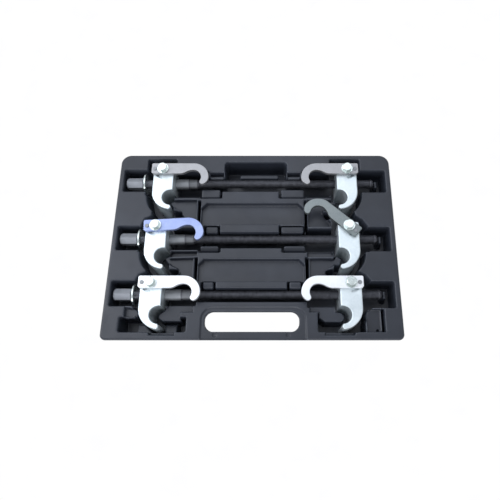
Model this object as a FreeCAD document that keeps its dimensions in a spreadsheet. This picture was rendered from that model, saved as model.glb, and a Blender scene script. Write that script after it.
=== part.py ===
import FreeCAD, Part
import Sketcher
import math
import os
from FreeCAD import Placement, Rotation, Vector

# A set of three coil spring compressors lying in their moulded case tray.
# Origin: middle of the tray's underside. +X runs along the spindles towards
# their free ends, +Y away from the carrying handle, +Z up. Millimetres.

doc = FreeCAD.newDocument("SpringCompressorSet")
sheet = doc.addObject("Spreadsheet::Sheet", "Sizes")

driving = {
    # case tray
    "trayLength": 437.6, "trayWidth": 298.0, "trayHeight": 45.0,
    "backCorner": 16.0, "frontCorner": 8.5, "skin": 2.2, "wallSkin": 2.0,
    "shellFloor": 2.0, "bottomRound": 6.0, "innerRound": 2.0, "pocketFloor": 5.5,
    "shelfLevel": 37.0, "bandLevel": 33.0, "recessFloor": 36.0, "bumpLevel": 42.5,
    "rampLevel": 24.0, "frontReach": 3.5, "frontLand": 8.0, "sideTaper": 3.0, "frontTaper": 7.0,
    "handleLip": 34.0, "handleStep": 42.8, "stopTop": 30.0, "rimInset": 3.7,
    "leftJoint": -87.5, "rightJoint": 81.2, "backJoint": 44.0, "frontJoint": -51.0,
    # spindle, along X
    "axisHeight": 31.0, "rodDiameter": 14.0, "rodEnd": 192.0, "headStart": -208.0,
    "headLength": 26.0, "headFlats": 17.0, "headChamfer": 1.5, "runningGap": 0.08,
    "discDiameter": 34.0, "discThick": 2.2, "discAt": -178.2, "sleeveDiameter": 16.6, "sleeveEnd": -107.5,
    "collarDiameter": 15.6, "collarEnd": -94.0, "ringDiameter": 17.4, "ringThick": 1.6,
    "endRingDiameter": 15.2, "endRingAt": 187.0,
    # jaw
    "jawHeight": 50.0, "jawBody": 32.0, "jawTop": 20.0, "biteRadius": 13.0,
    "clawRadius": 30.8, "jawRound": 1.5, "movingGap": 0.3,
    # safety hook, its bolt, washer and stop pin
    "hookThick": 6.0, "hookHalf": 10.0, "hookArm": 18.4, "hookRear": 18.0, "hookReach": 48.0,
    "curlRadius": 24.5, "throatRadius": 12.5, "tipRadius": 4.4, "hookRound": 0.8,
    "pivotOffset": 11.5, "boltDiameter": 8.0, "boltFlats": 13.0, "boltHead": 5.3,
    "boltDepth": 15.0, "washerDiameter": 17.6, "washerThick": 1.6,
    "pinDiameter": 4.0, "pinHead": 6.0, "pinHeadThick": 1.6, "pinAt": 12.5,
    "pinDip": 2.6, "slotDepth": 3.2, "swing": 75.0,
}
for line, (word, value) in enumerate(driving.items(), start=1):
    sheet.set("A%d" % line, word)
    sheet.set("B%d" % line, str(value))
    sheet.setAlias("B%d" % line, word)
doc.recompute()


def size(word):
    return float(sheet.get(word))


rodRadius = size("rodDiameter") / 2
boreRadius = rodRadius + size("runningGap")
topOfJaw = size("jawHeight") / 2
hookBottom = topOfJaw + size("movingGap")
hookTop = hookBottom + size("hookThick")
washerBottom = hookTop + size("movingGap")
washerTop = washerBottom + size("washerThick")

# One entry per compressor: spindle axis Y, both jaw centres, how far each hook is swung up.
sets = [
    {"axisY": 102.4, "headJaw": -144.6, "screwJaw": 146.2, "headSwing": 0.0, "screwSwing": 0.0},
    {"axisY": 5.5, "headJaw": -148.1, "screwJaw": 144.9, "headSwing": 3.5, "screwSwing": 41.0},
    {"axisY": -83.4, "headJaw": -147.6, "screwJaw": 143.4, "headSwing": 0.0, "screwSwing": 0.0},
]

nodes = []


def newBody(label):
    body = doc.addObject("PartDesign::Body", label)
    body.Label = label
    nodes.append(body)
    return body


def originPlane(body, role):
    return [f for f in body.Origin.OriginFeatures if f.Role == role][0]


def newSketch(body, name, role, offset=0.0):
    sketch = body.newObject("Sketcher::SketchObject", name)
    sketch.AttachmentSupport = [(originPlane(body, role), "")]
    sketch.MapMode = "FlatFace"
    sketch.AttachmentOffset = Placement(Vector(0, 0, offset), Rotation())
    return sketch


def boundCircle(sketch, diameter, x=0.0, y=0.0):
    """Circle whose diameter follows an expression on the sheet."""
    index = sketch.addGeometry(Part.Circle(Vector(x, y, 0), Vector(0, 0, 1), 5.0), False)
    row = sketch.addConstraint(Sketcher.Constraint("Diameter", index, 10.0))
    sketch.setExpression("Constraints[%d]" % row, diameter)
    sketch.addConstraint(Sketcher.Constraint("DistanceX", -1, 1, index, 3, x))
    sketch.addConstraint(Sketcher.Constraint("DistanceY", -1, 1, index, 3, y))


def polygon(sketch, corners):
    for start, end in zip(corners, corners[1:] + corners[:1]):
        sketch.addGeometry(Part.LineSegment(Vector(*start, 0), Vector(*end, 0)), False)


def hexagon(sketch, flats, turn=0.0):
    """Hexagon; turn 0 puts a corner on the sketch's x axis, 30 puts one on its y axis."""
    across = flats / math.sqrt(3)
    polygon(sketch, [(across * math.cos(math.radians(60 * k + turn)),
                      across * math.sin(math.radians(60 * k + turn))) for k in range(6)])


def addPad(body, sketch, length, name, middle=False):
    pad = body.newObject("PartDesign::Pad", name)
    pad.Profile = sketch
    pad.setExpression("Length", length)
    pad.Midplane = middle
    return pad


def addPocket(body, sketch, length, name, reverse=False, middle=False):
    pocket = body.newObject("PartDesign::Pocket", name)
    pocket.Profile = sketch
    pocket.setExpression("Length", length)
    pocket.Reversed = reverse
    pocket.Midplane = middle
    return pocket


def roundEdges(body, base, radius, chosen, name):
    """Fillet the edges of one feature that pass the test."""
    doc.recompute()
    names = ["Edge%d" % (k + 1) for k, edge in enumerate(base.Shape.Edges) if chosen(edge)]
    fillet = body.newObject("PartDesign::Fillet", name)
    fillet.Base = (base, names)
    fillet.setExpression("Radius", radius)
    return fillet


def turned(label, start, outer, length, inner=None):
    """Round piece about the X axis: a pad from start, bored through when inner is given."""
    body = newBody(label)
    ring = newSketch(body, label + "_ring", "YZ_Plane", start)
    boundCircle(ring, outer)
    if inner:
        boundCircle(ring, inner)
    addPad(body, ring, length, label + "_pad")
    return body


def buildSpindle(label):
    body = newBody(label)
    head = newSketch(body, label + "_hex", "YZ_Plane", size("headStart"))
    hexagon(head, size("headFlats"), 30.0)
    addPad(body, head, "Sizes.headLength", label + "_head")
    rod = newSketch(body, label + "_round", "YZ_Plane", size("headStart") + size("headLength"))
    boundCircle(rod, "Sizes.rodDiameter")
    addPad(body, rod, "Sizes.rodEnd - Sizes.headStart - Sizes.headLength", label + "_rod")
    # chamfers turned on both ends: the corners of the hexagon and the free end of the thread
    lathe = newSketch(body, label + "_chamfers", "XY_Plane")
    flat = size("headFlats") / 2
    start = size("headStart")
    end = size("rodEnd")
    bevel = size("headChamfer")
    polygon(lathe, [(start - 1, flat - 0.6), (start, flat - 0.6), (start + 2 * bevel, flat + 2.4),
                    (start - 1, flat + 2.4)])
    polygon(lathe, [(end + 1, rodRadius - bevel), (end, rodRadius - bevel), (end - bevel, rodRadius),
                    (end - bevel, rodRadius + 1), (end + 1, rodRadius + 1)])
    groove = body.newObject("PartDesign::Groove", label + "_bevel")
    groove.Profile = lathe
    groove.ReferenceAxis = (originPlane(body, "X_Axis"), [""])
    groove.Angle = 360.0
    return body


def jawOutline(side):
    """Jaw seen from above: x towards the other jaw, y away from the claw, spindle axis at 0,0."""
    half = size("jawBody") / 2
    top = size("jawTop")
    corner = 3.0
    bite = size("biteRadius")
    biteAt = Vector(13.4, -34.5, 0)
    claw = size("clawRadius")
    clawAt = Vector(claw - half, -24.5, 0)
    mouth = Vector(half, biteAt.y + math.sqrt(bite ** 2 - (half - biteAt.x) ** 2), 0)
    tipTop = Vector(12.0, biteAt.y - math.sqrt(bite ** 2 - (12.0 - biteAt.x) ** 2), 0)
    tipLow = Vector(11.0, clawAt.y - math.sqrt(claw ** 2 - (11.0 - clawAt.x) ** 2), 0)
    tipEnd = Vector(14.8, (tipTop.y + tipLow.y) / 2, 0)
    slant = math.sqrt(0.5)
    steps = [
        ("line", Vector(-half, clawAt.y, 0), Vector(-half, top - corner, 0)),
        ("arc", Vector(-half, top - corner, 0),
         Vector(-half + corner * (1 - slant), top - corner * (1 - slant), 0), Vector(-half + corner, top, 0)),
        ("line", Vector(-half + corner, top, 0), Vector(half - corner, top, 0)),
        ("arc", Vector(half - corner, top, 0),
         Vector(half - corner * (1 - slant), top - corner * (1 - slant), 0), Vector(half, top - corner, 0)),
        ("line", Vector(half, top - corner, 0), mouth),
        ("arc", mouth, Vector(biteAt.x - bite, biteAt.y, 0), tipTop),
        ("arc", tipTop, tipEnd, tipLow),
        ("arc", tipLow, clawAt + Vector(-claw * slant, -claw * slant, 0), Vector(-half, clawAt.y, 0)),
    ]
    return mirrored(steps, side)


def hookOutline(side):
    """Safety hook seen from above: pivot at 0,0, x towards the other jaw."""
    half = size("hookHalf")
    rear = -size("hookRear")
    outer = size("curlRadius")
    throat = size("throatRadius")
    curlAt = Vector(size("hookReach"), half - outer, 0)
    tight = 13.0                       # the curl's outside tightens over its last stretch
    tightAt = curlAt + Vector(outer - tight, 0, 0)
    # the rounded tip touches the throat on one side and the tightened outside on the other
    tipRadius = size("tipRadius")
    span = outer - tight
    tipX = ((throat + tipRadius) ** 2 - (tight - tipRadius) ** 2 + span ** 2) / (2 * span)
    tipY = -math.sqrt((throat + tipRadius) ** 2 - tipX ** 2)
    tipAt = curlAt + Vector(tipX, tipY, 0)
    innerClose = math.degrees(math.atan2(tipY, tipX))
    outerClose = math.degrees(math.atan2(tipY, tipX - span))
    low = half - size("hookArm")
    sweepStart = Vector(26.0, low, 0)
    throatTop = curlAt + Vector(0, throat, 0)
    run = throatTop - sweepStart
    sweep = (run.x ** 2 + run.y ** 2) / (4 * run.y)
    turn = math.asin(run.x / 2 / sweep) / 2
    middleOfSweep = (sweepStart + throatTop) * 0.5
    lower = sweepStart + Vector(sweep * math.sin(turn), sweep * (1 - math.cos(turn)), 0)
    upper = throatTop - Vector(sweep * math.sin(turn), sweep * (1 - math.cos(turn)), 0)

    def ray(degrees):
        return Vector(math.cos(math.radians(degrees)), math.sin(math.radians(degrees)), 0)

    corner = 2.5
    slant = math.sqrt(0.5)
    steps = [
        ("line", Vector(rear, low + corner, 0), Vector(rear, half - corner, 0)),
        ("arc", Vector(rear, half - corner, 0),
         Vector(rear + corner * (1 - slant), half - corner * (1 - slant), 0), Vector(rear + corner, half, 0)),
        ("line", Vector(rear + corner, half, 0), curlAt + Vector(0, outer, 0)),
        ("arc", curlAt + Vector(0, outer, 0),
         curlAt + ray(45) * outer, curlAt + ray(0) * outer),
        ("arc", curlAt + ray(0) * outer, tightAt + ray(outerClose / 2) * tight, tightAt + ray(outerClose) * tight),
        ("arc", tightAt + ray(outerClose) * tight, tipAt + ray((innerClose + outerClose) / 2 - 90) * tipRadius,
         curlAt + ray(innerClose) * throat),
        ("arc", curlAt + ray(innerClose) * throat, curlAt + ray(30) * throat, throatTop),
        ("arc", throatTop, upper, middleOfSweep),
        ("arc", middleOfSweep, lower, sweepStart),
        ("line", sweepStart, Vector(rear + corner, low, 0)),
        ("line", Vector(rear + corner, low, 0), Vector(rear, low + corner, 0)),
    ]
    return mirrored(steps, side)


def mirrored(steps, side):
    flip = [(kind, [Vector(side * p.x, p.y, 0) for p in points]) for kind, *points in steps]
    return [Part.LineSegment(*p) if kind == "line" else Part.Arc(*p) for kind, p in flip]


def flatEdge(level):
    """Edges that lie wholly at one of two heights, plus or minus level."""
    return lambda edge: all(abs(abs(v.Z) - level) < 0.01 for v in edge.Vertexes) \
        and abs(edge.BoundBox.ZLength) < 0.01


def buildJaw(label, side):
    body = newBody(label)
    plan = newSketch(body, label + "_plan", "XY_Plane")
    for piece in jawOutline(side):
        plan.addGeometry(piece, False)
    block = addPad(body, plan, "Sizes.jawHeight", label + "_block", middle=True)
    roundEdges(body, block, "Sizes.jawRound", flatEdge(topOfJaw), label + "_rounds")
    bore = newSketch(body, label + "_bore", "YZ_Plane")
    boundCircle(bore, "Sizes.rodDiameter + 2 * Sizes.runningGap")
    addPocket(body, bore, "Sizes.jawBody * 2", label + "_through", middle=True)
    tapped = newSketch(body, label + "_tapping", "XY_Plane", topOfJaw)
    boundCircle(tapped, "Sizes.boltDiameter", 0.0, size("pivotOffset"))
    addPocket(body, tapped, "Sizes.boltDepth", label + "_tapped")
    # arc slot in the top face: the hook's stop pin runs in it and sets the swing
    slot = newSketch(body, label + "_slot", "XY_Plane", topOfJaw)
    centre = Vector(0, size("pivotOffset"), 0)
    reach = size("pinAt")
    half = size("pinDiameter") / 2 + size("movingGap")
    first = math.radians(180)
    last = math.radians(180 + size("swing"))
    play = 0.35 / reach                # a little more than the pin needs at each stop
    rays = [first - play, (first + last) / 2, last + play]

    def at(radius, angle):
        return Vector(side * radius * math.cos(angle), centre.y + radius * math.sin(angle), 0)

    def cap(angle, way):
        return Vector(side * (reach * math.cos(angle) - way * half * math.sin(angle)),
                      centre.y + reach * math.sin(angle) + way * half * math.cos(angle), 0)

    slot.addGeometry(Part.Arc(*[at(reach + half, a) for a in rays]), False)
    slot.addGeometry(Part.Arc(*[at(reach - half, a) for a in rays]), False)
    slot.addGeometry(Part.Arc(at(reach + half, rays[0]), cap(rays[0], -1), at(reach - half, rays[0])), False)
    slot.addGeometry(Part.Arc(at(reach + half, rays[2]), cap(rays[2], 1), at(reach - half, rays[2])), False)
    addPocket(body, slot, "Sizes.slotDepth", label + "_stop")
    return body


def buildHook(label, side):
    body = newBody(label)
    plan = newSketch(body, label + "_plan", "XY_Plane", hookBottom)
    for piece in hookOutline(side):
        plan.addGeometry(piece, False)
    plate = addPad(body, plan, "Sizes.hookThick", label + "_plate")
    roundEdges(body, plate, "Sizes.hookRound",
               lambda e: e.BoundBox.ZLength < 0.01 and
               (abs(e.BoundBox.ZMin - hookBottom) < 0.01 or abs(e.BoundBox.ZMin - hookTop) < 0.01),
               label + "_rounds")
    holes = newSketch(body, label + "_holes", "XY_Plane", hookTop)
    boundCircle(holes, "Sizes.boltDiameter + 2 * Sizes.runningGap")
    boundCircle(holes, "Sizes.pinDiameter", -side * size("pinAt"), 0.0)
    addPocket(body, holes, "Sizes.hookThick + 1", label + "_drilled")
    return body


def buildBolt(label):
    """Hexagon bolt on the pivot axis, its shank in the jaw and its head on the washer."""
    body = newBody(label)
    shank = newSketch(body, label + "_shank", "XY_Plane", topOfJaw - size("boltDepth"))
    boundCircle(shank, "Sizes.boltDiameter")
    addPad(body, shank, "Sizes.boltDepth + 2 * Sizes.movingGap + Sizes.hookThick + Sizes.washerThick",
           label + "_stem")
    head = newSketch(body, label + "_hex", "XY_Plane", washerTop)
    hexagon(head, size("boltFlats"))
    addPad(body, head, "Sizes.boltHead", label + "_head")
    lathe = newSketch(body, label + "_crown", "XZ_Plane")
    top = washerTop + size("boltHead")
    flat = size("boltFlats") / 2
    polygon(lathe, [(flat - 0.3, top + 1), (flat - 0.3, top), (flat + 1.7, top - 1.15), (flat + 1.7, top + 1)])
    groove = body.newObject("PartDesign::Groove", label + "_bevel")
    groove.Profile = lathe
    groove.ReferenceAxis = (originPlane(body, "Z_Axis"), [""])
    groove.Angle = 360.0
    return body


def buildWasher(label):
    body = newBody(label)
    ring = newSketch(body, label + "_ring", "XY_Plane", washerBottom)
    boundCircle(ring, "Sizes.washerDiameter")
    boundCircle(ring, "Sizes.boltDiameter")
    addPad(body, ring, "Sizes.washerThick", label + "_pad")
    return body


def buildPin(label, side):
    """Stop pin riveted through the hook: its lower end dips into the jaw's slot."""
    body = newBody(label)
    x = -side * size("pinAt")
    stem = newSketch(body, label + "_stem", "XY_Plane", topOfJaw - size("pinDip"))
    boundCircle(stem, "Sizes.pinDiameter", x)
    addPad(body, stem, "Sizes.pinDip + Sizes.movingGap + Sizes.hookThick", label + "_shank")
    head = newSketch(body, label + "_top", "XY_Plane", hookTop)
    boundCircle(head, "Sizes.pinHead", x)
    crown = addPad(body, head, "Sizes.pinHeadThick", label + "_crown")
    roundEdges(body, crown, "Sizes.pinHeadThick * 0.5",
               lambda e: abs(e.BoundBox.ZMin - hookTop - size("pinHeadThick")) < 0.01
               and e.BoundBox.ZLength < 0.01, label + "_dome")
    return body


def place(body, x, y, angle=0.0):
    body.Placement = Placement(Vector(x, y, size("axisHeight")), Rotation(Vector(0, 0, 1), angle))


for number, one in enumerate(sets, start=1):
    y = one["axisY"]
    sleeveStart = one["headJaw"] + size("jawBody") / 2 + size("movingGap")
    bore = "Sizes.rodDiameter"
    turnedParts = [
        buildSpindle("spindle_%d" % number),
        turned("thrust_disc_%d" % number, size("discAt"), "Sizes.discDiameter", "Sizes.discThick", bore),
        turned("spacer_sleeve_%d" % number, sleeveStart, "Sizes.sleeveDiameter",
               "Sizes.sleeveEnd - (%s)" % sleeveStart, bore),
        turned("retaining_ring_%d" % number, size("sleeveEnd"), "Sizes.ringDiameter", "Sizes.ringThick", bore),
        turned("collar_%d" % number, size("sleeveEnd") + size("ringThick"), "Sizes.collarDiameter",
               "Sizes.collarEnd - Sizes.sleeveEnd - Sizes.ringThick", bore),
        turned("end_ring_%d" % number, size("endRingAt"), "Sizes.endRingDiameter", "Sizes.ringThick", bore),
    ]
    for body in turnedParts:
        place(body, 0.0, y)
    for word, side in (("head", 1), ("screw", -1)):
        centre = one[word + "Jaw"]
        lift = side * one[word + "Swing"]
        place(buildJaw("%s_jaw_%d" % (word, number), side), centre, y)
        pivotY = y + size("pivotOffset")
        place(buildHook("%s_hook_%d" % (word, number), side), centre, pivotY, lift)
        place(buildPin("%s_stop_pin_%d" % (word, number), side), centre, pivotY, lift)
        place(buildBolt("%s_pivot_bolt_%d" % (word, number)), centre, pivotY, lift / 2 + 20.0)
        place(buildWasher("%s_washer_%d" % (word, number)), centre, pivotY)
doc.recompute()


# ---- case tray: an outer tub and the moulded inner tray that carries the pockets ----

top = size("trayHeight")
deck = top - size("skin")
floor = size("pocketFloor")
wall = size("wallSkin")
halfX = size("trayLength") / 2
halfY = size("trayWidth") / 2


def outlineWire(points):
    """Closed outline from corners (x, y, radius)."""
    edges = []
    joints = []
    count = len(points)
    for k in range(count):
        x, y, radius = points[k]
        here = Vector(x, y, 0)
        before = Vector(points[k - 1][0], points[k - 1][1], 0) - here
        after = Vector(points[(k + 1) % count][0], points[(k + 1) % count][1], 0) - here
        before.normalize()
        after.normalize()
        inner = before.getAngle(after)
        if radius < 0.01 or abs(inner - math.pi) < 0.02:
            joints.append((here, None, here))
            continue
        back = radius / math.tan(inner / 2)
        bisector = before + after
        bisector.normalize()
        middle = here + bisector * (radius / math.sin(inner / 2) - radius)
        joints.append((here + before * back, middle, here + after * back))
    for k in range(count):
        start, middle, end = joints[k]
        if middle is not None:
            edges.append(Part.Arc(start, middle, end).toShape())
        following = joints[(k + 1) % count][0]
        if end.distanceToPoint(following) > 0.001:
            edges.append(Part.LineSegment(end, following).toShape())
    return Part.Wire(edges)


def region(points):
    return Part.Face(outlineWire(points))


def cornered(points, radius=1.2):
    return region([(x, y, radius) for x, y in points])


def box(x0, x1, y0, y1, radius=3.0):
    return region([(x0, y0, radius), (x1, y0, radius), (x1, y1, radius), (x0, y1, radius)])


def grown(face, distance):
    return face.makeOffset2D(distance)


def disc(x, y, radius):
    return Part.Face(Part.Wire(Part.makeCircle(radius, Vector(x, y, 0))))


def slab(face, low, high):
    solids = []
    for piece in face.Faces:
        moved = piece.copy()
        moved.translate(Vector(0, 0, low))
        solids.append(moved.extrude(Vector(0, 0, high - low)))
    return solids


def merged(faces):
    if len(faces) == 1:
        return faces[0]
    return faces[0].fuse(faces[1:]).removeSplitter()


def trayOutline(inset, taper=0.0):
    """Outline of the case, drawn in by inset; taper draws the walls in too, the front wall most."""
    back = size("backCorner") - inset
    front = size("frontCorner") - inset
    x = halfX - inset - size("sideTaper") * taper
    y = halfY - inset - size("sideTaper") * taper
    near = halfY + size("frontReach") - inset - size("frontTaper") * taper
    return region([(-x, -near, front), (x, -near, front), (x, y, back), (-x, y, back)])


def clawPocket(one, word, reach, limit):
    """Round part of a jaw's pocket, cut off at the shelf beside the claw."""
    side = 1 if word == "head" else -1
    x = one[word + "Jaw"] + side * (size("clawRadius") - size("jawBody") / 2)
    y = one["axisY"] - 24.5
    far = x - side * (reach + 5)
    near = limit
    low = max(y - reach - 5, -halfY + size("frontLand"))
    return disc(x, y, reach).common(box(min(far, near), max(far, near), low, y + 24.5, 0)).Faces[0]


row1, row2, row3 = sets
# deep pockets, each one an outline with rounded corners
deep = [
    # hexagon heads, jaws and open ends of the three spindles
    box(-211, -127.5, 83, 122), box(-174.5, -127.5, 76, 141), box(-129, -74, 76, 119),
    box(-80, 79, 83, 110.0), box(-49, 51.5, 99, 136, 6), box(75, 131, 76, 119),
    box(121.5, 170, 76, 141), box(128, 210, 81.5, 121),
    box(-211, -127.5, -16, 23.5), box(-129, -82, -16, 21), box(-84, 83, -13, 13.2),
    box(80, 131, -18, 21), box(128, 210, -18, 22),
    region([(-127.5, -19, 3), (-127.5, 41, 3), (-160, 41, 3), (-171, 36, 4), (-176, 24, 4), (-176, -19, 3)]),
    region([(121.5, -19, 3), (176, -19, 3), (176, 24, 4), (169, 34, 4), (158, 41, 3), (121.5, 41, 3)]),
    box(-211, -127.5, -103, -64.5), box(-129, -83, -103, -65), box(-86, 85, -97, -76.0),
    box(80, 131, -106, -65), box(128, 210, -106, -65.5),
    region([(-127.5, -108, 3), (-127.5, -50, 3), (-160, -50, 3), (-171, -55, 4), (-176, -64, 4),
            (-176, -108, 3)]),
    region([(121, -108, 3), (175, -108, 3), (175, -64, 4), (168, -55, 4), (158, -50, 3), (121, -50, 3)]),
    # claw tips
    box(-161, -111, 38, 49), box(107, 158, 35, 47), box(-161, -112, -56, -47), box(108, 158, -56, -47),
    box(-193.5, -96, -141, -119), box(95, 165, -141, -112),
    box(187.5, 192, -141, -107, 1.5),
    # narrow grooves at both ends of the two shallow recesses
    box(-90, -84.5, 19, 67, 2), box(78.5, 84, 19, 67, 2), box(-90, -84.5, -68, -28, 2),
    box(78.5, 84, -68, -28, 2),
    clawPocket(row1, "head", 43.0, -127.5), clawPocket(row1, "screw", 39.5, 121.5),
    clawPocket(row2, "head", 41.0, -127.5), clawPocket(row2, "screw", 41.0, 121.5),
    clawPocket(row3, "head", 41.0, -127.5), clawPocket(row3, "screw", 41.0, 121.5),
]
# raised pads beside the spindles, each in a slightly wider slot of its own
bumps = [(-85, -55, 73, 87), (42, 79, 73, 87), (-75, -56, 13.2, 23), (42, 77, 13.2, 23),
         (-82, -54, -18, -9), (46, 79, -18, -9), (-75, -59, -76.0, -66), (54, 72, -76.0, -66)]
bumpGap = 3.2
deep += [box(x0 - bumpGap, x1 + bumpGap, y0 - 2.0, y1 + 2.0, 2) for x0, x1, y0, y1 in bumps]
bumpFaces = [box(x0, x1, y0, y1, 2.5) for x0, x1, y0, y1 in bumps]
# end stops behind the spindles and the cushion in the middle pocket
stops = [box(194.5, 199.5, one["axisY"] - 6, one["axisY"] + 6, 2) for one in sets]
stops.append(box(-25, 38, 113, 120, 3))
# tongues that reach into the claws, and the shelves they grow from
shelves = [cornered(points) for points in (
    [(-135, 65), (-131, 68), (-91, 68), (-91, 24), (-112, 24), (-112, 42), (-116, 49), (-124, 53), (-130, 58.5)],
    [(84, 22), (122, 22), (120, 31), (111, 40), (108, 50), (116, 58), (128, 64), (130, 68), (84, 68)],
    [(-136, -27.5), (-129, -24.5), (-127, -29.5), (-91, -29), (-91, -60), (-112, -60), (-112, -51),
     (-116, -45), (-124, -41), (-131, -35)],
    [(134, -28.5), (127, -24), (123, -30), (84.5, -30), (84.5, -60), (107, -60), (108, -49), (119, -43),
     (124, -38), (131, -38)],
    [(-124, -101), (-87, -101), (-87, -112), (-105, -112.5), (-105, -124), (-132, -124), (-137, -121),
     (-138.5, -118), (-137, -114), (-131, -110)],
    [(83.5, -103), (121, -103), (122, -110), (130, -112), (134, -116), (134, -121), (130, -125),
     (106, -125), (97, -119), (97, -112), (83.5, -112)],
    [(-187, -104), (-172, -107), (-168, -112), (-169, -117), (-175, -120), (-187, -119)],
    [(166, -115), (168, -109), (173, -107), (187.5, -107), (187.5, -141), (166, -141)])]
bands = [cornered(points) for points in (
    [(-126, 78), (-88, 78), (-88, 71), (-129, 71)], [(82, 78), (118, 78), (124, 71), (82, 71)],
    [(-125, -17), (-86, -17), (-86, -25.5), (-110, -27), (-126, -28), (-129, -23)],
    [(82, -17), (119, -17), (126, -23), (121, -27.5), (82, -27.5)],
    [(-73, 109.8), (-50, 109.8), (-50, 117), (-73, 117)], [(52, 109.8), (74, 109.8), (74, 117), (52, 117)])]
# low ramps in the front left pocket, either side of the claw's tip
ramps = [cornered(points) for points in (
    [(-170, -127), (-160.5, -127), (-153, -134.5), (-147, -139), (-147, -142), (-170, -142)],
    [(-129, -127), (-112, -127), (-112, -141), (-129, -141)])]
recesses = [
    region([(-84, 26, 4), (78, 26, 4), (78, 53, 3), (69, 62, 4), (-75, 62, 4), (-84, 53, 3)]),
    region([(-84, -66, 4), (78, -66, 4), (78, -40, 3), (69, -31, 4), (-75, -31, 4), (-84, -40, 3)]),
    # shallow steps in front of the two front claws
    cornered([(-151, -139), (-112, -139), (-112, -145.3), (-148, -145.3)]),
    cornered([(105, -139), (150, -139), (147, -145.3), (105, -145.3)]),
]
handle = box(-70, 68.5, -140.5, -110.5, 13)
handleLand = region([(-75, -halfY - 5, 0), (78, -halfY - 5, 0), (78, -104.5, 18), (-75, -104.5, 18)])
dimples = [disc(-54, -145, 3.3), disc(52, -145, 3.3)]
pinHole = disc(182, -138, 2.0)

raised = [(bumpFaces, size("bumpLevel")), (stops, size("stopTop")), (ramps, size("rampLevel"))]
middle = [(shelves, size("shelfLevel")), (bands, size("bandLevel")), (recesses, size("recessFloor"))]

deepFace = merged(deep)
solidTray = trayOutline(0.0)
plates = slab(solidTray, deck, top)
inside = trayOutline(size("rimInset"))
walls = merged([grown(face, wall) for face in deep])
walls = walls.common(inside)
plates += slab(walls, floor - wall, top)
cuts = slab(deepFace, floor, top + 5)
for faces, level in middle:
    plates += slab(merged([grown(face, wall) for face in faces]).common(inside), level - wall, top)
    cuts += slab(merged(faces), level, top + 5)
plates += slab(grown(handle, wall), size("handleLip"), top)
plates += slab(grown(handleLand, wall).common(inside), size("handleStep") - size("skin"), top)
cuts += slab(handle, 0, top + 5)
cuts += slab(handleLand, size("handleStep"), top + 5)
liner = plates[0].fuse(plates[1:])
liner = liner.cut(cuts)
# raised pads and shelves stand in the pockets as hollow blocks, open underneath
blocks = []
hollows = []
for faces, level in raised + [(shelves, size("shelfLevel")), (bands, size("bandLevel"))]:
    joined = merged(faces)
    blocks += slab(joined, floor - wall, level)
    for face in joined.Faces:
        if min(face.BoundBox.XLength, face.BoundBox.YLength) > 5 * wall:
            hollows += slab(grown(face, -wall), floor - wall - 1, level - wall)
liner = liner.fuse(blocks)
liner = liner.cut(hollows)
liner = liner.cut(slab(merged(dimples), size("handleStep") - 1.2, top) + slab(pinHole, 0, top))
liner = liner.removeSplitter()
print("liner solids", [(round(s.Volume), s.BoundBox) for s in liner.Solids], "volume", round(liner.Volume / 1000, 1), "cm3", liner.isValid())
liner = max(liner.Solids, key=lambda s: s.Volume)

# the one moulding is written as nine panels that meet at joint lines
columns = [("left", -halfX - 1, size("leftJoint")), ("middle", size("leftJoint"), size("rightJoint")),
           ("right", size("rightJoint"), halfX + 1)]
rows = [("back", size("backJoint"), halfY + 1), ("centre", size("frontJoint"), size("backJoint")),
        ("front", -halfY - 2 * size("frontReach"), size("frontJoint"))]
for across, x0, x1 in columns:
    for along, y0, y1 in rows:
        cell = Part.makeBox(x1 - x0, y1 - y0, top + 2, Vector(x0, y0, -1))
        found = liner.common(cell)
        label = "tray_liner_%s_%s" % (along, across)
        print(label, "solids", len(found.Solids), [round(s.Volume, 1) for s in found.Solids])
        panel = doc.addObject("Part::Feature", label)
        panel.Shape = max(found.Solids, key=lambda s: s.Volume)
        panel.Label = label
        panel.Placement = Placement()
        nodes.append(panel)

# outer tub: plain walls, rounded bottom edge, and a well that gives the fingers room at the handle
shellTop = deck


def tapered(inset, low, high):
    """Solid that narrows by the wall taper from the rim down to the underside."""
    levels = []
    for z in (low, high):
        wire = trayOutline(inset, 1 - z / shellTop).OuterWire
        wire.translate(Vector(0, 0, z))
        levels.append(wire)
    return Part.makeLoft(levels, True, True)


def softened(solid, level, radius):
    edges = [e for e in solid.Edges if abs(e.BoundBox.ZMax - level) < 0.01 and e.BoundBox.ZLength < 0.02]
    return solid.makeFillet(radius, edges)


outer = softened(tapered(0.0, 0.0, shellTop), 0.0, size("bottomRound"))
inner = softened(tapered(2.4, size("shellFloor"), shellTop), size("shellFloor"), size("innerRound"))
rimOpening = slab(trayOutline(2.4), shellTop - 0.01, shellTop + 1)[0]
inner = inner.fuse(rimOpening)
well = box(-80, 78, -143.5, -101, 15)
tub = outer.cut(inner)
tub = tub.fuse(slab(grown(well, wall), 0, size("handleLip") - 1)).cut(slab(well, -1, size("handleLip") + 1))
tub = tub.removeSplitter()
print("tub solids", len(tub.Solids), "volume", round(tub.Volume / 1000, 1), "cm3", tub.isValid())
shell = doc.addObject("Part::Feature", "case_shell")
shell.Shape = max(tub.Solids, key=lambda s: s.Volume)
shell.Label = "case_shell"
shell.Placement = Placement()
nodes.append(shell)

doc.recompute()
bad = [o.Label for o in doc.Objects if "Invalid" in o.State or "Error" in o.State]
bad += [n.Label for n in nodes if n.Shape.isNull() or not n.Shape.isValid()]
if bad:
    raise RuntimeError("failed: " + ", ".join(bad))
os.makedirs("parts", exist_ok=True)
for node in nodes:
    solids = node.Shape.Solids
    print(node.Label, len(solids), round(node.Shape.Volume / 1000, 2), node.Shape.BoundBox)
    node.Shape.exportStep("parts/%s.step" % node.Label)
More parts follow.
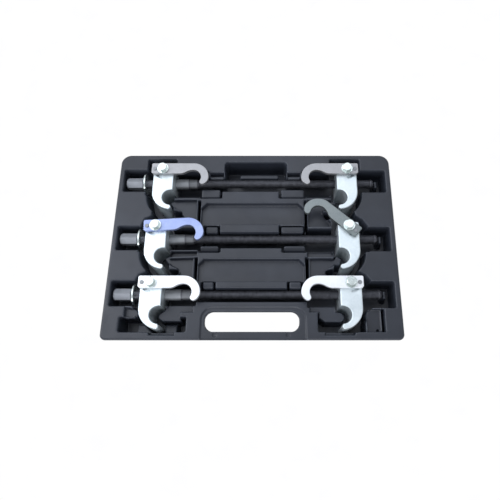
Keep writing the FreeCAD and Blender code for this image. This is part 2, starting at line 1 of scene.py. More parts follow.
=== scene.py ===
import bpy
import bmesh
import math
import numpy as np
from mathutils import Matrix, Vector


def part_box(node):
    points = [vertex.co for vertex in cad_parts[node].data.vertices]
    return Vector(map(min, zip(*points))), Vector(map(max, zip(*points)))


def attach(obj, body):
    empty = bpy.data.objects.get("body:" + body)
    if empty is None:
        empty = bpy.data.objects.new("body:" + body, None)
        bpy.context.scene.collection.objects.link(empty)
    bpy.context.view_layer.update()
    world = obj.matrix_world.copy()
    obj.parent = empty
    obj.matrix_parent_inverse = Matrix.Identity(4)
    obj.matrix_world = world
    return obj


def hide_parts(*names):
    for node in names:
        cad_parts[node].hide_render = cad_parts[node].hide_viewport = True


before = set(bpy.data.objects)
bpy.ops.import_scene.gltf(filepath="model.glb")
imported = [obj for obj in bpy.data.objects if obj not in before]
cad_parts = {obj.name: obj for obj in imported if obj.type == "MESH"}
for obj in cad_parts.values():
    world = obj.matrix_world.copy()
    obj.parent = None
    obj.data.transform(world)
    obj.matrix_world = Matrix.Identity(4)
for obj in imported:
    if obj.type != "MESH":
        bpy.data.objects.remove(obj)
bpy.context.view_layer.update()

millimetre = 0.001
print("frame loaded", len(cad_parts), "nodes")


# ---- colours and the one helper for shader nodes ----

def hexColour(text):
    channels = [int(text[k:k + 2], 16) / 255 for k in (1, 3, 5)]
    linear = [c / 12.92 if c <= 0.04045 else ((c + 0.055) / 1.055) ** 2.4 for c in channels]
    return (*linear, 1.0)


def perMillimetre(size):
    return 1.0 / (size * millimetre)   # texture scale for a pattern of this size


def addNode(material, kind, settings=None, inputs=None):
    node = material.node_tree.nodes.new(kind)
    for word, value in (settings or {}).items():
        setattr(node, word, value)
    for socket, value in (inputs or {}).items():
        if isinstance(value, tuple) and isinstance(value[0], bpy.types.Node):
            material.node_tree.links.new(value[0].outputs[value[1]], node.inputs[socket])
        else:
            node.inputs[socket].default_value = value
    return node


def newMaterial(name):
    material = bpy.data.materials.new(name)
    material.use_nodes = True
    material.node_tree.nodes.clear()
    place = addNode(material, "ShaderNodeTexCoord")
    return material, place


def blendColours(material, factor, low, high):
    ramp = addNode(material, "ShaderNodeValToRGB", inputs={"Fac": factor})
    ramp.color_ramp.elements[0].position = low[0]
    ramp.color_ramp.elements[0].color = low[1]
    ramp.color_ramp.elements[1].position = high[0]
    ramp.color_ramp.elements[1].color = high[1]
    return ramp


def closeMaterial(material, colour, roughness, bump, metallic=0.0):
    shader = addNode(material, "ShaderNodeBsdfPrincipled", inputs={
        "Base Color": colour, "Roughness": roughness, "Normal": bump, "Metallic": metallic})
    addNode(material, "ShaderNodeOutputMaterial", inputs={"Surface": (shader, "BSDF")})
    return material


# Blow-moulded polyethylene: an even dark skin with a fine spark-eroded grain,
# convex edges painted paler as a painted highlight, and slow changes in gloss.
def blowMouldedPolyethylene(name, tone):
    material, place = newMaterial(name)
    cloud = addNode(material, "ShaderNodeTexNoise", inputs={
        "Vector": (place, "Object"), "Scale": perMillimetre(90), "Detail": 3.0, "Roughness": 0.55})
    grain = addNode(material, "ShaderNodeTexNoise", inputs={
        "Vector": (place, "Object"), "Scale": perMillimetre(tone["grain"]), "Detail": 2.0, "Roughness": 0.6})
    flow = addNode(material, "ShaderNodeTexNoise", inputs={
        "Vector": (place, "Object"), "Scale": perMillimetre(26), "Detail": 2.0, "Distortion": 0.6})
    body = blendColours(material, (cloud, "Fac"), (0.32, hexColour(tone["deep"])), (0.70, hexColour(tone["pale"])))
    edge = addNode(material, "ShaderNodeNewGeometry")
    # painted highlight: convex edges (high pointiness) are mixed towards a pale colour, standing in for light on
    # the rounded lips and rims
    paintedEdgeHighlight = addNode(material, "ShaderNodeMapRange", inputs={
        "Value": (edge, "Pointiness"), "From Min": 0.52, "From Max": 0.60, "To Min": 0.0, "To Max": tone["paintedEdgeHighlightAmount"]})
    colour = addNode(material, "ShaderNodeMix", {"data_type": "RGBA"}, {
        "Factor": (paintedEdgeHighlight, "Result"), "A": (body, "Color"), "B": hexColour(tone["paintedEdgeHighlight"])})
    gloss = addNode(material, "ShaderNodeMapRange", inputs={
        "Value": (flow, "Fac"), "From Min": 0.3, "From Max": 0.7,
        "To Min": tone["gloss"] - 0.05, "To Max": tone["gloss"] + 0.07})
    ripple = addNode(material, "ShaderNodeBump", inputs={
        "Height": (flow, "Fac"), "Strength": 0.10, "Distance": 0.4 * millimetre})
    bump = addNode(material, "ShaderNodeBump", inputs={
        "Height": (grain, "Fac"), "Normal": (ripple, "Normal"), "Strength": 0.30,
        "Distance": 0.05 * millimetre})
    return closeMaterial(material, (colour, "Result"), (gloss, "Result"), (bump, "Normal"))


# Zinc-plated forging: bright, slightly cloudy plate over a shot-blasted skin,
# so highlights are broad and softly mottled.
def platedForging(name, tone):
    material, place = newMaterial(name)
    skin = addNode(material, "ShaderNodeTexNoise", inputs={
        "Vector": (place, "Object"), "Scale": perMillimetre(1.6), "Detail": 4.0, "Roughness": 0.6})
    swell = addNode(material, "ShaderNodeTexNoise", inputs={
        "Vector": (place, "Object"), "Scale": perMillimetre(14), "Detail": 2.0})
    cloud = addNode(material, "ShaderNodeTexNoise", inputs={
        "Vector": (place, "Object"), "Scale": perMillimetre(22), "Detail": 4.0, "Distortion": 0.8})
    spangle = addNode(material, "ShaderNodeTexVoronoi", inputs={
        "Vector": (place, "Object"), "Scale": perMillimetre(tone["spangle"])})
    body = blendColours(material, (cloud, "Fac"), (0.30, hexColour(tone["deep"])), (0.72, hexColour(tone["pale"])))
    fleck = addNode(material, "ShaderNodeMapRange", inputs={
        "Value": (spangle, "Color"), "From Min": 0.0, "From Max": 1.0, "To Min": 0.0, "To Max": 0.22})
    colour = addNode(material, "ShaderNodeMix", {"data_type": "RGBA"}, {
        "Factor": (fleck, "Result"), "A": (body, "Color"), "B": hexColour(tone["fleck"])})
    gloss = addNode(material, "ShaderNodeMapRange", inputs={
        "Value": (cloud, "Fac"), "From Min": 0.25, "From Max": 0.75,
        "To Min": tone["gloss"] - 0.06, "To Max": tone["gloss"] + 0.10})
    broad = addNode(material, "ShaderNodeBump", inputs={
        "Height": (swell, "Fac"), "Strength": 0.25, "Distance": 0.6 * millimetre})
    bump = addNode(material, "ShaderNodeBump", inputs={
        "Height": (skin, "Fac"), "Normal": (broad, "Normal"), "Strength": tone["skin"],
        "Distance": 0.10 * millimetre})
    return closeMaterial(material, (colour, "Result"), (gloss, "Result"), (bump, "Normal"), tone["metal"])


# Turned or rolled bar: fine tool lines run round the bar, so light is drawn out along it.
def turnedBar(name, tone):
    material, place = newMaterial(name)
    lines = addNode(material, "ShaderNodeTexWave", {"bands_direction": "X"}, {
        "Vector": (place, "Object"), "Scale": perMillimetre(tone["line"]) / 6.3, "Distortion": 1.5,
        "Detail": 2.0, "Detail Scale": 2.0})
    stain = addNode(material, "ShaderNodeTexNoise", inputs={
        "Vector": (place, "Object"), "Scale": perMillimetre(9), "Detail": 4.0, "Roughness": 0.6})
    body = blendColours(material, (stain, "Fac"), (0.32, hexColour(tone["deep"])), (0.70, hexColour(tone["pale"])))
    gloss = addNode(material, "ShaderNodeMapRange", inputs={
        "Value": (stain, "Fac"), "From Min": 0.3, "From Max": 0.7,
        "To Min": tone["gloss"] - 0.05, "To Max": tone["gloss"] + 0.10})
    bump = addNode(material, "ShaderNodeBump", inputs={
        "Height": (lines, "Fac"), "Strength": 0.20, "Distance": 0.03 * millimetre})
    return closeMaterial(material, (body, "Color"), (gloss, "Result"), (bump, "Normal"), tone["metal"])


# the pale edge colour in these tones is a painted highlight on convex edges
trayTone = {"deep": "#20232a", "pale": "#2a2e37", "paintedEdgeHighlight": "#6c727c", "paintedEdgeHighlightAmount": 0.45, "gloss": 0.40, "grain": 0.7}
shellTone = {"deep": "#15171b", "pale": "#1c1f24", "paintedEdgeHighlight": "#4c5159", "paintedEdgeHighlightAmount": 0.20, "gloss": 0.48, "grain": 0.7}
forgingTone = {"deep": "#cdd8dc", "pale": "#e6eff2", "fleck": "#f4f8f8", "gloss": 0.42, "metal": 0.78,
               "spangle": 2.2, "skin": 0.35}
plateTone = {"deep": "#989899", "pale": "#a9a9ab", "fleck": "#bcbcbd", "gloss": 0.44, "metal": 0.85,
             "spangle": 1.4, "skin": 0.22}
blueTone = {"deep": "#8390bb", "pale": "#9daacf", "fleck": "#b4bede", "gloss": 0.40, "metal": 0.85,
            "spangle": 1.4, "skin": 0.18}
# darker grey-green plate for the second screw hook: painted shade, standing in for the shadow that hook lies in
paintedShadeTone = {"deep": "#747b7c", "pale": "#868d8d", "fleck": "#a0a6a6", "gloss": 0.42, "metal": 0.85,
             "spangle": 1.4, "skin": 0.22}
whiteTone = {"deep": "#e2e6ea", "pale": "#f3f5f7", "fleck": "#fdfdfd", "gloss": 0.44, "metal": 0.80,
             "spangle": 1.4, "skin": 0.20}
brightTone = {"deep": "#c4cecc", "pale": "#e0e8e5", "fleck": "#f2f4ec", "gloss": 0.24, "metal": 1.0,
              "spangle": 1.0, "skin": 0.12}
headTone = {"deep": "#8b8e93", "pale": "#9c9fa5", "gloss": 0.55, "metal": 0.45, "line": 0.6}
sleeveTone = {"deep": "#84878a", "pale": "#989b9e", "gloss": 0.50, "metal": 0.60, "line": 0.5}
collarTone = {"deep": "#6a6c6f", "pale": "#7e8083", "gloss": 0.50, "metal": 0.60, "line": 0.5}
rodTone = {"deep": "#55565b", "pale": "#67686e", "gloss": 0.46, "metal": 0.70, "line": 0.5}

trayPlastic = blowMouldedPolyethylene("blowMouldedPolyethyleneTray", trayTone)
shellPlastic = blowMouldedPolyethylene("blowMouldedPolyethyleneShell", shellTone)
forgedZinc = platedForging("zincPlatedForging", forgingTone)
satinZinc = platedForging("zincPlatedPlateSatin", plateTone)
blueZinc = platedForging("zincPlatedPlateBluePassivated", blueTone)
paintedShadeZinc = platedForging("zincPlatedPlatePaintedShade", paintedShadeTone)
whiteZinc = platedForging("zincPlatedPlateBright", whiteTone)
brightZinc = platedForging("zincPlatedFastenerBright", brightTone)
headSteel = turnedBar("turnedSteelHead", headTone)
greyBar = turnedBar("turnedSteelSleeve", sleeveTone)
dullBar = turnedBar("turnedSteelCollar", collarTone)
blackBar = turnedBar("rolledThreadBlackOxide", rodTone)
print("materials made", len(bpy.data.materials))


# ---- carried CAD pieces get their finish ----

# screw_hook_2 gets the darker plate: painted shade for a hook lying in shadow
hookFinish = {"head_hook_1": satinZinc, "screw_hook_1": satinZinc, "head_hook_2": blueZinc,
              "screw_hook_2": paintedShadeZinc, "head_hook_3": whiteZinc, "screw_hook_3": whiteZinc}
finishOf = {"jaw": forgedZinc, "bolt": brightZinc, "washer": brightZinc, "disc": brightZinc, "pin": greyBar,
            "sleeve": greyBar, "retaining": blackBar, "collar": dullBar, "end_ring": blackBar}


def finishFor(node):
    if node in hookFinish:
        return hookFinish[node]
    for word, material in finishOf.items():
        if word in node:
            return material
    return trayPlastic


for node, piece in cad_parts.items():
    piece.data.materials.clear()
    piece.data.materials.append(finishFor(node))


# ---- spindles: hexagon, plain shank and a real rolled thread ----

spindle = {"flats": 17.0, "start": -208.0, "headEnd": -182.0, "threadFrom": -94.0, "end": 192.0,
           "radius": 7.0, "pitch": 2.0, "depth": 0.95, "sides": 48, "stepsPerPitch": 6}


def spindleRadius(x, angle):
    spec = spindle
    if x < spec["headEnd"] - 0.001:
        flat = spec["flats"] / 2 / math.cos((angle + math.pi / 6) % (math.pi / 3) - math.pi / 6)
        chamfer = spec["flats"] / 2 - 0.6 + (x - spec["start"]) * 0.9
        return min(flat, chamfer)
    if x < spec["threadFrom"]:
        return spec["radius"] - 0.04
    phase = ((x / spec["pitch"]) - angle / (2 * math.pi)) % 1.0
    rise = abs(phase - 0.5) * 2                      # 0 at the root, 1 at the crest
    flank = min(max((rise - 0.2) / 0.62, 0.0), 1.0)
    ramp = min(max((x - spec["threadFrom"]) / 3.0, 0.0), 1.0)
    radius = spec["radius"] - 0.02 - spec["depth"] * (1 - flank) * ramp
    return min(radius, 5.5 + (spec["end"] - x))


def spindleStations():
    spec = spindle
    head = [spec["start"], spec["start"] + 0.8, spec["start"] + 1.6, spec["start"] + 2.4, spec["start"] + 3.4,
            -192.0, spec["headEnd"] - 0.3, spec["headEnd"] - 0.01]
    shank = [spec["headEnd"], spec["headEnd"] + 0.5, -140.0, spec["threadFrom"] - 0.3]
    step = spec["pitch"] / spec["stepsPerPitch"]
    turns = np.arange(spec["threadFrom"], spec["end"], step).tolist()
    return head + shank + turns + [spec["end"]]


def buildSpindle(number):
    node = "spindle_%d" % number
    low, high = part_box(node)
    axisY = (low[1] + high[1]) / 2
    axisZ = (low[2] + high[2]) / 2
    sides = spindle["sides"]
    stations = spindleStations()
    points = []
    for x in stations:
        for k in range(sides):
            angle = 2 * math.pi * k / sides
            r = spindleRadius(x, angle) * millimetre
            points.append((x * millimetre, axisY + r * math.cos(angle), axisZ + r * math.sin(angle)))
    faces = []
    for row in range(len(stations) - 1):
        for k in range(sides):
            a = row * sides + k
            b = row * sides + (k + 1) % sides
            faces.append((a, a + sides, b + sides, b))
    faces.append(tuple(range(sides)))
    last = (len(stations) - 1) * sides
    faces.append(tuple(last + k for k in reversed(range(sides))))
    mesh = bpy.data.meshes.new("threaded_spindle_%d" % number)
    mesh.from_pydata(points, [], faces)
    mesh.materials.append(headSteel)
    mesh.materials.append(blackBar)
    for face in mesh.polygons:
        face.material_index = 0 if face.center.x < spindle["headEnd"] * millimetre else 1
    mesh.polygons.foreach_set("use_smooth", [True] * len(mesh.polygons))
    piece = bpy.data.objects.new(mesh.name, mesh)
    bpy.context.collection.objects.link(piece)
    bpy.context.view_layer.objects.active = piece
    mesh.set_sharp_from_angle(angle=math.radians(38))
    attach(piece, "screw_%d" % number)
    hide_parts(node)


for number in (1, 2, 3):
    buildSpindle(number)
print("spindles threaded")


# ---- moulded tray: a relief worked out from the distance to each pocket's outline ----

tray = {"halfX": 218.8, "halfY": 149.0, "front": 152.5, "top": 45.0, "backCorner": 16.0, "frontCorner": 8.5,
        "rim": 3.0, "lip": 2.0, "draft": 2.0, "floor": 5.7, "shelf": 37.0, "band": 33.0,
        "recess": 36.0, "pad": 42.5, "stop": 30.0, "handleStep": 42.8, "handleLip": 34.0, "grid": 0.8}


def roundedBox(x, y, x0, x1, y0, y1, r=3.0):
    qx = np.abs(x - (x0 + x1) / 2) - ((x1 - x0) / 2 - r)
    qy = np.abs(y - (y0 + y1) / 2) - ((y1 - y0) / 2 - r)
    outside = np.hypot(np.maximum(qx, 0), np.maximum(qy, 0))
    return r - outside - np.minimum(np.maximum(qx, qy), 0)   # positive inside


def polygonInside(x, y, corners):
    nearest = np.full(x.shape, 1e9)
    inside = np.zeros(x.shape, bool)
    for (ax, ay), (bx, by) in zip(corners, corners[1:] + corners[:1]):
        ex, ey = bx - ax, by - ay
        along = np.clip(((x - ax) * ex + (y - ay) * ey) / (ex * ex + ey * ey), 0, 1)
        nearest = np.minimum(nearest, np.hypot(x - ax - along * ex, y - ay - along * ey))
        crosses = ((ay > y) != (by > y)) & (x < ex * (y - ay) / (ey if ey else 1e-9) + ax)
        inside ^= crosses
    return np.where(inside, nearest, -nearest)


def union(parts, soft=1.6):
    total = parts[0]
    for part in parts[1:]:
        overlap = np.maximum(soft - np.abs(total - part), 0) / soft
        total = np.maximum(total, part) + overlap * overlap * soft / 4
    return total


def trayOutline(x, y):
    back = roundedBox(x, y, -tray["halfX"], tray["halfX"], -tray["front"], tray["halfY"], tray["backCorner"])
    front = roundedBox(x, y, -tray["halfX"], tray["halfX"], -tray["front"], tray["halfY"], tray["frontCorner"])
    return np.where(y > 0, back, front)


def clawPocket(x, y, centreX, centreY, reach, limit, side):
    circle = reach - np.hypot(x - centreX, y - centreY)
    ahead = np.minimum(centreY + 24.5 - y, y + 141)
    return np.minimum(np.minimum(circle, side * (limit - x)), ahead)


deepBoxes = [
    (-211, -127.5, 83, 122), (-174.5, -127.5, 76, 141), (-129, -74, 76, 119), (-80, 79, 83, 110),
    (-49, 51.5, 99, 136, 6), (75, 131, 76, 119), (121.5, 170, 76, 141), (128, 210, 81.5, 121),
    (-211, -127.5, -16, 23.5), (-129, -82, -16, 21), (-84, 83, -13, 13.2), (80, 131, -18, 21),
    (128, 210, -18, 22), (-211, -127.5, -103, -64.5), (-129, -83, -103, -65), (-86, 85, -97, -76),
    (80, 131, -106, -65), (128, 210, -106, -65.5),
    (-161, -111, 38, 49), (107, 158, 35, 47), (-161, -112, -56, -47), (108, 158, -56, -47),
    (-193.5, -96, -141, -119), (95, 165, -141, -112), (187.5, 192, -141, -107, 1.5),
    (-90, -84.5, 19, 67, 2), (78.5, 84, 19, 67, 2), (-90, -84.5, -68, -28, 2), (78.5, 84, -68, -28, 2),
]
deepCorners = [
    [(-127.5, -19), (-127.5, 41), (-160, 41), (-171, 36), (-176, 24), (-176, -19)],
    [(121.5, -19), (176, -19), (176, 24), (169, 34), (158, 41), (121.5, 41)],
    [(-127.5, -108), (-127.5, -50), (-160, -50), (-171, -55), (-176, -64), (-176, -108)],
    [(121, -108), (175, -108), (175, -64), (168, -55), (158, -50), (121, -50)],
]
clawPockets = [
    (-129.3, 77.9, 43.0, -127.5, 1), (130.9, 77.9, 39.5, 121.5, -1), (-132.8, -19.0, 41.0, -127.5, 1),
    (129.6, -19.0, 41.0, 121.5, -1), (-132.3, -107.9, 41.0, -127.5, 1), (128.1, -107.9, 41.0, 121.5, -1),
]
# raised pads beside the rods: x0, x1, y0, y1 and how steeply the top falls towards the handle
pads = [(-85, -55, 73, 87, 0.12), (42, 79, 73, 87, 0.12), (-75, -56, 13.2, 23, 0.1), (42, 77, 13.2, 23, 0.1),
        (-82, -54, -18, -9, 0.55), (46, 79, -18, -9, 0.55), (-75, -59, -76, -66, 0.15), (54, 72, -76, -66, 0.15)]
shelves = [
    [(-135, 65), (-131, 68), (-91, 68), (-91, 24), (-112, 24), (-112, 42), (-116, 49), (-124, 53), (-130, 58.5)],
    [(84, 22), (122, 22), (120, 31), (111, 40), (108, 50), (116, 58), (128, 64), (130, 68), (84, 68)],
    [(-136, -27.5), (-129, -24.5), (-127, -29.5), (-91, -29), (-91, -60), (-112, -60), (-112, -51), (-116, -45),
     (-124, -41), (-131, -35)],
    [(134, -28.5), (127, -24), (123, -30), (84.5, -30), (84.5, -60), (107, -60), (108, -49), (119, -43), (124, -38),
     (131, -38)],
    [(-124, -101), (-87, -101), (-87, -112), (-105, -112.5), (-105, -124), (-132, -124), (-137, -121),
     (-138.5, -118), (-137, -114), (-131, -110)],
    [(83.5, -103), (121, -103), (122, -110), (130, -112), (134, -116), (134, -121), (130, -125), (106, -125),
     (97, -119), (97, -112), (83.5, -112)],
    [(-187, -104), (-172, -107), (-168, -112), (-169, -117), (-175, -120), (-187, -119)],
    [(166, -115), (168, -109), (173, -107), (187.5, -107), (187.5, -141), (166, -141)],
]
bands = [
    [(-126, 78), (-88, 78), (-88, 71), (-129, 71)], [(82, 78), (118, 78), (124, 71), (82, 71)],
    [(-125, -17), (-86, -17), (-86, -25.5), (-110, -27), (-126, -28), (-129, -23)],
    [(82, -17), (119, -17), (126, -23), (121, -27.5), (82, -27.5)],
    [(-73, 109.8), (-50, 109.8), (-50, 117), (-73, 117)], [(52, 109.8), (74, 109.8), (74, 117), (52, 117)],
]
recesses = [
    [(-84, 26), (78, 26), (78, 53), (69, 62), (-75, 62), (-84, 53)],
    [(-84, -66), (78, -66), (78, -40), (69, -31), (-75, -31), (-84, -40)],
    [(-151, -139), (-112, -139), (-112, -145.3), (-148, -145.3)],
    [(105, -139), (150, -139), (147, -145.3), (105, -145.3)],
]
ramps = [
    [(-170, -127), (-160.5, -127), (-153, -134.5), (-147, -139), (-147, -142), (-170, -142)],
    [(-129, -127), (-112, -127), (-112, -141), (-129, -141)],
]


def stepDown(inside, drop, lip, draft):
    # how far the skin has dropped at this distance inside an outline: rounded lip, then a drafted wall
    edge = np.clip((inside + lip) / lip, 0, 1)
    rounded = lip * (1 - np.sqrt(np.maximum(1 - edge * edge, 0)))
    wallDrop = lip + (drop - lip) * np.clip(inside / draft, 0, 1)
    total = np.where(inside <= 0, np.minimum(rounded, drop), wallDrop)
    return np.minimum(total, drop)


def raiseTo(height, inside, level, lip, draft):
    # a block standing in the relief: its own rounded top edge, then a drafted side
    top = np.clip(inside / lip, 0, 1)
    crown = level - lip * (1 - np.sqrt(np.maximum(1 - (1 - top) ** 2, 0)))
    side = level - lip + inside / draft * (level - tray["floor"])
    block = np.where(inside >= 0, crown, side)
    return np.maximum(height, np.where(inside > -draft, block, -1e9))


def trayHeight(x, y):
    t = tray
    top = t["top"]
    deep = [roundedBox(x, y, *b) for b in deepBoxes]
    deep += [polygonInside(x, y, c) for c in deepCorners]
    deep += [clawPocket(x, y, *c) for c in clawPockets]
    deep += [roundedBox(x, y, x0 - 3.2, x1 + 3.2, y0 - 2, y1 + 2, 2) for x0, x1, y0, y1, fall in pads]
    deep = union(deep)
    drop = stepDown(deep, top - t["floor"], t["lip"], t["draft"])
    shallow = union([polygonInside(x, y, c) for c in recesses])
    drop = np.maximum(drop, stepDown(shallow, top - t["recess"], 2.0, 1.2))
    for parts, level in ((shelves, t["shelf"]), (bands, t["band"])):
        joined = union([polygonInside(x, y, c) for c in parts])
        drop = np.maximum(drop, stepDown(joined, top - level, 1.6, 1.4))
    land = union([roundedBox(x, y, -75, 78, -180, -104.5, 18)])
    drop = np.maximum(drop, stepDown(land, top - t["handleStep"], 1.0, 1.2))
    height = top - drop
    height = raiseTo(height, union([polygonInside(x, y, c) for c in shelves]), t["shelf"], 1.8, 1.6)
    height = raiseTo(height, union([polygonInside(x, y, c) for c in bands]), t["band"], 1.6, 1.6)
    for x0, x1, y0, y1, fall in pads:
        pad = roundedBox(x, y, x0, x1, y0, y1, 3)
        height = raiseTo(height, pad, t["pad"] - fall * np.clip(y1 - y, 0, y1 - y0), 2.4, 1.6)
    slope = 24 + 0.25 * np.clip(-127 - y, 0, 16)
    height = raiseTo(height, union([polygonInside(x, y, c) for c in ramps]), slope, 2.0, 1.6)
    stops = [roundedBox(x, y, 194.5, 199.5, a - 6, a + 6, 2) for a in (102.4, 5.5, -83.4)]
    stops.append(roundedBox(x, y, -25, 38, 113, 120, 3))
    height = raiseTo(height, union(stops), t["stop"], 2.2, 2.0)
    for cx, cy, r, depth in ((-54, -145, 3.3, 1.2), (52, -145, 3.3, 1.2), (182, -138, 2.0, 5.0)):
        height = np.minimum(height, height - stepDown(r - np.hypot(x - cx, y - cy), depth, 0.5, 1.0))
    edge = np.clip(trayOutline(x, y), 0, t["rim"])
    return height - (t["rim"] - np.sqrt(np.maximum(t["rim"] ** 2 - (t["rim"] - edge) ** 2, 0)))


def handleHole(x, y):
    return roundedBox(x, y, -70, 68.5, -140.5, -110.5, 13)


def slideOntoLine(x, y, distance, outside):
    # move the points just past an outline back onto it, along the distance's own slope
    for _ in range(3):
        d = distance(x, y)
        gx = (distance(x + 0.05, y) - distance(x - 0.05, y)) / 0.1
        gy = (distance(x, y + 0.05) - distance(x, y - 0.05)) / 0.1
        length = np.maximum(np.hypot(gx, gy), 1e-6) ** 2
        x = np.where(outside, x - gx * d / length, x)
        y = np.where(outside, y - gy * d / length, y)
    return x, y


def reliefSheet(name, heightOf, rimHeight, holeHeight, grid, flip):
    reachX = tray["halfX"] + grid
    reachY = tray["front"] + grid
    columns = int(2 * reachX / grid) + 2
    rows = int(2 * reachY / grid) + 2
    gx, gy = np.meshgrid(np.linspace(-reachX, reachX, columns), np.linspace(-reachY, reachY, rows))
    x = gx.ravel()
    y = gy.ravel()
    outer = trayOutline(x, y)
    hole = handleHole(x, y)
    good = (outer > 0) & (hole < 0)
    x, y = slideOntoLine(x, y, trayOutline, outer <= 0)
    x, y = slideOntoLine(x, y, handleHole, hole >= 0)
    z = heightOf(x, y)
    z = np.where(outer <= 0, rimHeight, z)
    z = np.where(hole >= 0, holeHeight, z)
    index = np.arange(rows * columns).reshape(rows, columns)
    quads = np.stack([index[:-1, :-1], index[:-1, 1:], index[1:, 1:], index[1:, :-1]], -1).reshape(-1, 4)
    quads = quads[good[quads].any(axis=1)]
    if flip:
        quads = quads[:, ::-1]
    used = np.unique(quads)
    renumber = np.full(rows * columns, -1)
    renumber[used] = np.arange(len(used))
    points = np.stack([x[used], y[used], z[used]], 1) * millimetre
    mesh = bpy.data.meshes.new(name)
    mesh.from_pydata(points.tolist(), [], renumber[quads].tolist())
    return mesh


def extendRim(mesh, levels):
    # carry the outer border straight down or up through (height, inset) levels
    work = bmesh.new()
    work.from_mesh(mesh)
    bmesh.ops.remove_doubles(work, verts=work.verts, dist=0.00002)
    bmesh.ops.dissolve_degenerate(work, edges=work.edges, dist=0.00001)

    def onRim(vertex):
        inside = trayOutline(np.array([vertex.co.x / millimetre]), np.array([vertex.co.y / millimetre]))
        return inside[0] < 0.3

    rim = [e for e in work.edges if e.is_boundary and all(onRim(v) for v in e.verts)]
    for height, inset in levels:
        made = bmesh.ops.extrude_edge_only(work, edges=rim)["geom"]
        rim = [e for e in made if isinstance(e, bmesh.types.BMEdge)]
        for vertex in {v for e in rim for v in e.verts}:
            vertex.co.x *= 1 - inset / tray["halfX"]
            vertex.co.y *= 1 - inset / tray["halfY"]
            vertex.co.z = height * millimetre
        rim = [e for e in rim if e.is_boundary]
    bmesh.ops.recalc_face_normals(work, faces=work.faces)
    work.to_mesh(mesh)
    work.free()
    mesh.polygons.foreach_set("use_smooth", [True] * len(mesh.polygons))


def taperWalls(mesh):
    # blow-moulded walls lean in towards the underside, the front wall most
    for vertex in mesh.vertices:
        low = 1 - min(vertex.co.z / millimetre / shell["joint"], 1.0)
        lean = shell["frontTaper"] if vertex.co.y < 0 else shell["sideTaper"]
        edgeY = tray["front"] if vertex.co.y < 0 else tray["halfY"]
        vertex.co.x *= 1 - low * shell["sideTaper"] / tray["halfX"]
        vertex.co.y *= 1 - low * lean / edgeY


def placeSheet(mesh, material, nodes):
    mesh.materials.append(material)
    piece = bpy.data.objects.new(mesh.name, mesh)
    bpy.context.collection.objects.link(piece)
    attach(piece, "case")
    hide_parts(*nodes)


linerMesh = reliefSheet("moulded_tray", trayHeight, tray["top"] - tray["rim"], tray["handleLip"],
                        tray["grid"], False)
extendRim(linerMesh, [(tray["top"] - tray["rim"] - 0.3, 0.0), (tray["top"] - tray["rim"] - 0.3, 1.5)])
linerPanels = [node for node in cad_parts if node.startswith("tray_liner")]
placeSheet(linerMesh, trayPlastic, linerPanels)
print("tray moulded", len(linerMesh.polygons), "faces")

shell = {"bottomRound": 6.0, "wellTop": 33.6, "joint": 41.1, "grid": 1.6, "sideTaper": 3.0, "frontTaper": 7.0}


def shellHeight(x, y):
    edge = np.clip(trayOutline(x, y), 0, shell["bottomRound"])
    rise = shell["bottomRound"]
    curve = rise - np.sqrt(np.maximum(rise ** 2 - (rise - edge) ** 2, 0))
    well = roundedBox(x, y, -80, 78, -143.5, -101, 14)
    return np.maximum(curve, stepDown(well, shell["wellTop"], 1.5, 3.0))


shellMesh = reliefSheet("case_tub", shellHeight, shell["bottomRound"], shell["wellTop"] + 0.3,
                        shell["grid"], True)
extendRim(shellMesh, [(12.0, 0.0), (24.0, 0.0), (36.0, 0.0), (shell["joint"] - 0.5, 0.0),
                      (shell["joint"], 0.5), (shell["joint"], 1.2)])
taperWalls(shellMesh)
placeSheet(shellMesh, shellPlastic, ["case_shell"])
print("tub moulded", len(shellMesh.polygons), "faces")


# ---- floor, light and camera ----

studio = {"floor": "#ffffff", "glow": 1.02, "world": "#f4f8ff", "worldStrength": 0.70}


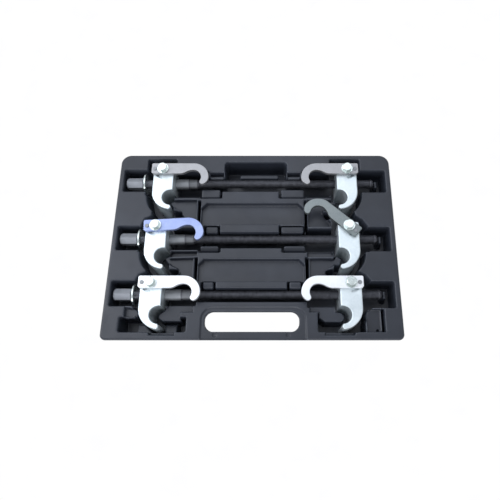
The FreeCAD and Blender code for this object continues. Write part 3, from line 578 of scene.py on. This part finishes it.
def paleFloor():
    material, place = newMaterial("lightTableFloor")
    speck = addNode(material, "ShaderNodeTexNoise", inputs={
        "Vector": (place, "Object"), "Scale": perMillimetre(40), "Detail": 2.0})
    colour = blendColours(material, (speck, "Fac"), (0.3, hexColour("#fcfcfd")), (0.7, hexColour(studio["floor"])))
    glow = addNode(material, "ShaderNodeEmission", inputs={"Color": (colour, "Color"), "Strength": studio["glow"]})
    addNode(material, "ShaderNodeOutputMaterial", inputs={"Surface": (glow, "Emission")})
    mesh = bpy.data.meshes.new("studio_floor")
    half = 3.0
    mesh.from_pydata([(-half, -half, 0), (half, -half, 0), (half, half, 0), (-half, half, 0)], [], [(0, 1, 2, 3)])
    mesh.materials.append(material)
    piece = bpy.data.objects.new("studio_floor", mesh)
    bpy.context.collection.objects.link(piece)
    piece.location.z = -0.0005


def softLight(name, place, aim, size, power, colour):
    lamp = bpy.data.lights.new(name, "AREA")
    lamp.shape = "RECTANGLE"
    lamp.size, lamp.size_y = size
    lamp.energy = power
    lamp.color = hexColour(colour)[:3]
    piece = bpy.data.objects.new(name, lamp)
    piece.location = place
    piece.rotation_euler = (Vector(aim) - Vector(place)).to_track_quat("-Z", "Y").to_euler()
    bpy.context.collection.objects.link(piece)


paleFloor()
world = bpy.data.worlds.new("studio_world")
world.use_nodes = True
world.node_tree.nodes["Background"].inputs["Color"].default_value = hexColour(studio["world"])
world.node_tree.nodes["Background"].inputs["Strength"].default_value = studio["worldStrength"]
bpy.context.scene.world = world
softLight("left_panel", (-0.95, 0.10, 0.75), (0, 0, 0), (0.6, 0.8), 5.0, "#f8faff")
softLight("roof_panel", (-0.30, 0.45, 1.10), (0, 0, 0), (1.6, 1.0), 6.5, "#eef4ff")
softLight("front_panel", (-0.10, -1.10, 0.50), (0, -0.05, 0), (1.2, 0.4), 5.5, "#f6f9ff")

view = {"lens": 32.916, "sensor": 36.0, "place": (36.2, -249.0, 701.4), "tilt": 19.5, "shift": -0.0546}
camera = bpy.data.cameras.new("studio_camera")
camera.lens = view["lens"]
camera.sensor_width = view["sensor"]
camera.shift_x = view["shift"]
cameraPiece = bpy.data.objects.new("studio_camera", camera)
cameraPiece.location = [v * millimetre for v in view["place"]]
cameraPiece.rotation_euler = (math.radians(view["tilt"]), 0, 0)
bpy.context.collection.objects.link(cameraPiece)
bpy.context.scene.camera = cameraPiece
bpy.context.scene.view_settings.view_transform = "Standard"
print("studio set")
